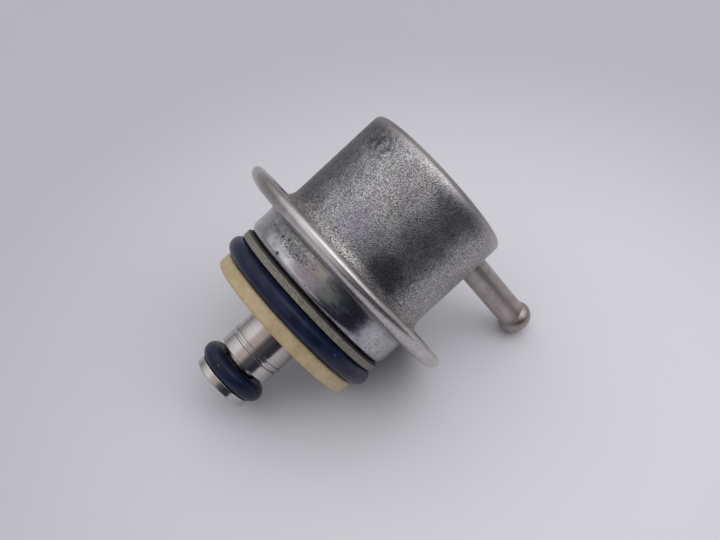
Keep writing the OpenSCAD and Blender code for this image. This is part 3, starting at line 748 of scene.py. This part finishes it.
def makeSpring(v):
    # P(s, q) = (R + w cos q)(cos 2 pi s * X + sin 2 pi s * Y) + (h(s) + w sin q) * Z, with s turns along the
    # coil and q round the wire. h climbs slowly over the dead turn at each end, evenly in between.
    around, turns, wire = v["around"], v["turns"], v["wire"]
    s = np.linspace(0, turns, turns * v["steps"] + 1)[:, None]
    q = np.linspace(0, 2 * math.pi, around, endpoint=False)[None, :]
    rise = v["high"] - v["low"] - 2 * wire
    h = np.interp(s, [0, 1, turns - 1, turns], [0, v["dead"], rise - v["dead"], rise])
    r = v["coil"] + wire * np.cos(q) + 0 * s
    z = v["low"] + wire * (1 + np.sin(q)) + h
    grid = np.stack([r * np.cos(2 * math.pi * s), r * np.sin(2 * math.pi * s), z], -1).reshape(-1, 3)
    i, j = np.arange(len(s) - 1)[:, None] * around, np.arange(around)[None, :]
    after = (j + 1) % around
    quads = np.stack([i + j, i + around + j, i + around + after, i + after], -1).reshape(-1, 4)
    first, second, last = j.ravel(), after.ravel(), len(grid) - around
    caps = np.vstack([np.stack([0 * first + len(grid), first, second], -1),
                      np.stack([0 * first + len(grid) + 1, last + second, last + first], -1)])
    middles = np.stack([grid[:around].mean(0), grid[last:].mean(0)])
    return meshFrom("mainSpring", origin + np.vstack([grid, middles]) @ turnAxes.T / 1000, quads, caps)


# Diaphragm: the disc under the spring plate and the edge in the crimp, parted at the top of the roll
diaphragmValues = dict(hole=2.13, edge=17.1, low=0.55, high=1.0, middle=9.98, roll=1.46, steps=14, around=160,
                       flex=(2.01, 1.0))


def makeDiaphragm(name, v, side, foot):
    # A flat sheet from the foot to the roll, then quarter circles of radius R and R - t, turned about the axis
    thick = v["high"] - v["low"]
    over = np.linspace(math.pi / 2, math.asin(thick / v["roll"]), v["steps"])
    under = np.linspace(0, math.pi / 2, v["steps"])
    arcs = [np.column_stack([v["middle"] + side * radius * np.cos(turn), v["low"] + radius * np.sin(turn)])
            for radius, turn in ((v["roll"], over), (v["roll"] - thick, under))]
    outline = np.vstack([arcs[0], [[foot, v["high"]], [foot, v["low"]]], arcs[1]])
    return turnedPiece(name, outline, v["around"])


# Finishes of the inner pieces: two tones, metallic, roughness and the size of the grain
innerValues = dict(
    diaphragm=("1d1c1c", "2e2b2a", 0.0, 0.6, 1.5), spring=("8a8a8e", "6d6c70", 1.0, 0.3, 3.0),
    plate=("b5a878", "94895f", 1.0, 0.32, 2.0), holder=("b0a98f", "8d8877", 1.0, 0.28, 3.0),
    ball=("cfcfd2", "b5b5b9", 1.0, 0.1, 2.0))
innerGrain = dict(low=0.3, high=0.7, smoother=0.05, rougher=0.08, bump=0.004)


def innerFinish(name, values, v):
    # The two tones mixed by fine grain, with a matching change of gloss
    light, dark, metallic, roughness, scale = values
    settings = dict(Scale=scale, Low=v["low"], High=v["high"])
    material, shader, see, _ = startMaterial(name, dict(fine=settings), metallic)
    fine = see(grain, "fine")
    colour = blend(fine, tone(dark), tone(light))
    rough = spread(fine, 0, 1, roughness - v["smoother"], roughness + v["rougher"])
    finishMaterial(shader, colour, rough, fine, v["bump"])
    return material


rubber = sealRubber(sealValues)
outerPieces = [
    (makeCup(cupValues), "spring_cup", "cup_steel", cupSteel(cupValues)),
    (makeChamber(chamberValues), "fuel_chamber", "chamber_steel", chamberSteel(chamberValues)),
    (makeSpigot(spigotValues), "return_spigot", "turned_steel", turnedSteel(spigotValues)),
    (makeSeal("bodySeal", sealValues, **sealValues["body"]), "body_seal", "seal_rubber", rubber),
    (makeSeal("spigotSeal", sealValues, **sealValues["tip"]), "spigot_seal", "seal_rubber", rubber),
    (makeWasher(washerValues), "backup_washer", "washer_fibre", washerFibre(washerValues)),
    (makeRing(ringValues), "retaining_ring", "ring_nylon", ringNylon(ringValues)),
    (makePipe(pipeValues), "vacuum_pipe", "pipe_steel", pipeSteel(pipeValues)),
]
for row in outerPieces:
    dress(*row)

finishes = {name: innerFinish(name + "Finish", values, innerGrain) for name, values in innerValues.items()}
spring = makeSpring(springValues)
disc = makeDiaphragm("diaphragmDisc", diaphragmValues, -1, diaphragmValues["hole"])
edge = makeDiaphragm("diaphragmEdge", diaphragmValues, 1, diaphragmValues["edge"])
for piece in (spring, disc, edge):
    piece.data.set_sharp_from_angle(angle=sharpAngle)
dress(spring, "main_spring", "spring_steel", finishes["spring"], springValues["flex"])
dress(disc, "diaphragm", "diaphragm_rubber", finishes["diaphragm"], diaphragmValues["flex"])
dress(edge, "diaphragm", "diaphragm_rubber", finishes["diaphragm"])

# The other inner pieces keep their CAD meshes
innerNodes = {
    "spring_plate": ("plate", "plate_steel"),
    "ball_retainer": ("plate", "plate_steel"),
    "valve_holder": ("holder", "valve_steel"),
    "valve_plate": ("holder", "valve_steel"),
    "valve_ball": ("ball", "ball_steel"),
}
for node, (finish, slot) in innerNodes.items():
    inside = frame["nodes"][node]
    inside.data.materials.clear()
    inside.data.materials.append(finishes[finish])
print("inner pieces dressed:", len(innerNodes))

# Floor, light and camera, with lengths in metres unless the name says mm
stageValues = dict(
    floorHeight=-0.01567, floorHalf=2.5, floorCells=8, floor="d8d7dc", floorEdge="bcbbc1", floorRough=0.75,
    floorGloss=0.2, poolOfLightCentre=(0.014, -0.016), poolOfLightFrom=0.025, poolOfLightTo=0.09, cloudScale=60.0, cloudShare=0.08,
    sky=(0.98, 0.98, 1.0, 1.0), horizon=0.3, zenith=1.05, zenithFrom=0.85, backdrop=0.44,
    frontTint=(0.78, 0.82, 1.0, 1.0), frontDir=(-0.17, -0.92, 0.35), frontFrom=0.66, frontTo=0.90,
    frontDark=0.84, frontPlain=0.55, overTint=(1.0, 0.9, 0.86, 1.0), overDir=(-0.433, -0.328, 0.840),
    overFrom=0.80, overTo=0.97, overDark=0.42, lampSize=0.6, lampPower=0.55, lampPlace=(0.2, -0.2, 0.42),
    card=(0.05, 0.05, 0.068, 1.0), cardRadius=0.085, cardTop=0.021, cardLift=0.001, cardArc=(-75, 45),
    cardCells=(24, 2), azimuth=-33.906, elevation=47.474, roll=0.26, lens=45.0, sensor=36.0,
    clip=(0.005, 20.0), rightMm=2.849, upMm=0.43, backMm=122.5)


def makeFloor(v):
    # A level sheet: P(x, y) = (x, y, floorHeight) on a coarse grid
    line = np.linspace(-v["floorHalf"], v["floorHalf"], v["floorCells"] + 1)
    x, y = np.meshgrid(line, line)
    points = np.column_stack([x.ravel(), y.ravel(), np.full(x.size, v["floorHeight"])])
    floor = meshFrom("floor", points, gridQuads(v["floorCells"], v["floorCells"]), noTris)
    material = bpy.data.materials.new("paleFloor")
    material.use_nodes = True
    tree = material.node_tree
    shader = tree.nodes["Principled BSDF"]
    where = put(tree, "TexCoord").outputs["Object"]
    cloud = noise(where, v["cloudScale"], detail=4.0, roughness=0.5)
    # a painted pool of light: the sheet is palest round the object and darker towards its edges
    away = vectors("DISTANCE", where, (*v["poolOfLightCentre"], v["floorHeight"]))
    poolOfLightFade = spread(away, v["poolOfLightFrom"], v["poolOfLightTo"], smooth=True)
    poolOfLightFade = sums("ADD", poolOfLightFade, times(sums("SUBTRACT", cloud, 0.5), v["cloudShare"]))
    tree.links.new(blend(poolOfLightFade, tone(v["floor"]), tone(v["floorEdge"])), shader.inputs["Base Color"])
    shader.inputs["Roughness"].default_value = v["floorRough"]
    shader.inputs["Specular IOR Level"].default_value = v["floorGloss"]
    floor.data.materials.append(material)


def makeWorld(v):
    # A soft dome, bright overhead and dim at the horizon. It is darker in front, in part for plain rays, and
    # darker in one place above for reflections alone.
    world = bpy.data.worlds.new("softDome")
    bpy.context.scene.world = world
    world.use_nodes = True
    tree = world.node_tree
    tree.nodes.clear()
    direction = put(tree, "TexCoord").outputs["Generated"]
    rays = put(tree, "LightPath").outputs
    rise = put(tree, "SeparateXYZ", None, Vector=direction).outputs["Z"]
    dome = spread(rise, 0.0, v["zenithFrom"], v["horizon"], v["zenith"], True)
    front = vectors("DOT_PRODUCT", direction, v["frontDir"])
    front = times(spread(front, v["frontFrom"], v["frontTo"], smooth=True),
                  spread(rays["Is Glossy Ray"], 0, 1, v["frontPlain"], 1.0))
    over = vectors("DOT_PRODUCT", direction, v["overDir"])
    over = times(spread(over, v["overFrom"], v["overTo"], smooth=True), rays["Is Glossy Ray"])
    shade = times(spread(front, 0, 1, 1.0, 1.0 - v["frontDark"]),
                  spread(over, 0, 1, 1.0, 1.0 - v["overDark"]))
    strength = put(tree, "Mix", {"data_type": "FLOAT"}, n0=rays["Is Camera Ray"],
                   n2=times(dome, shade), n3=v["backdrop"]).outputs[0]
    colour = blend(over, blend(front, v["sky"], v["frontTint"]), v["overTint"])
    glow = put(tree, "Background", None, Color=colour, Strength=strength)
    tree.links.new(glow.outputs[0], put(tree, "OutputWorld").inputs["Surface"])


def makeCard(v):
    # A dark card that only the metals see, standing in an arc low in front: P(u, z) = (R sin u, -R cos u, z)
    columns, rows = v["cardCells"]
    turns = np.radians(np.linspace(*v["cardArc"], columns + 1))
    u, z = np.meshgrid(turns, np.linspace(v["floorHeight"] + v["cardLift"], v["cardTop"], rows + 1))
    radius = v["cardRadius"]
    points = np.column_stack([(radius * np.sin(u)).ravel(), (-radius * np.cos(u)).ravel(), z.ravel()])
    card = meshFrom("frontCard", points, gridQuads(columns, rows)[:, [0, 3, 2, 1]], noTris)
    material = bpy.data.materials.new("darkCard")
    material.use_nodes = True
    shader = material.node_tree.nodes["Principled BSDF"]
    shader.inputs["Base Color"].default_value = v["card"]
    shader.inputs["Roughness"].default_value = 1.0
    card.data.materials.append(material)
    card.visible_camera = card.visible_diffuse = card.visible_shadow = card.visible_transmission = False


def makeLamp(v):
    lamp = bpy.data.lights.new("sidePanel", "AREA")
    lamp.shape = "DISK"
    lamp.size = v["lampSize"]
    lamp.energy = v["lampPower"]
    panel = bpy.data.objects.new("sidePanel", lamp)
    panel.location = v["lampPlace"]
    panel.rotation_mode = "QUATERNION"
    panel.rotation_quaternion = Vector(v["lampPlace"]).to_track_quat("Z", "Y")
    bpy.context.scene.collection.objects.link(panel)


def makeCamera(v):
    az, el, roll = (math.radians(v[k]) for k in ("azimuth", "elevation", "roll"))
    back = Vector((math.sin(az) * math.cos(el), -math.cos(az) * math.cos(el), math.sin(el)))
    flat = Vector((math.cos(az), math.sin(az), 0))
    right = math.cos(roll) * flat + math.sin(roll) * back.cross(flat)
    up = back.cross(right)
    lens = bpy.data.cameras.new("photoCamera")
    lens.lens = v["lens"]
    lens.sensor_width = v["sensor"]
    lens.clip_start, lens.clip_end = v["clip"]
    camera = bpy.data.objects.new("photoCamera", lens)
    place = (right * v["rightMm"] + up * v["upMm"] + back * v["backMm"]) / 1000
    camera.matrix_world = Matrix.Translation(place) @ Matrix((right, up, back)).transposed().to_4x4()
    bpy.context.scene.collection.objects.link(camera)
    bpy.context.scene.camera = camera


for make in (makeFloor, makeWorld, makeCard, makeLamp, makeCamera):
    make(stageValues)
bpy.context.scene.view_settings.view_transform = "Standard"
print("stage ready")
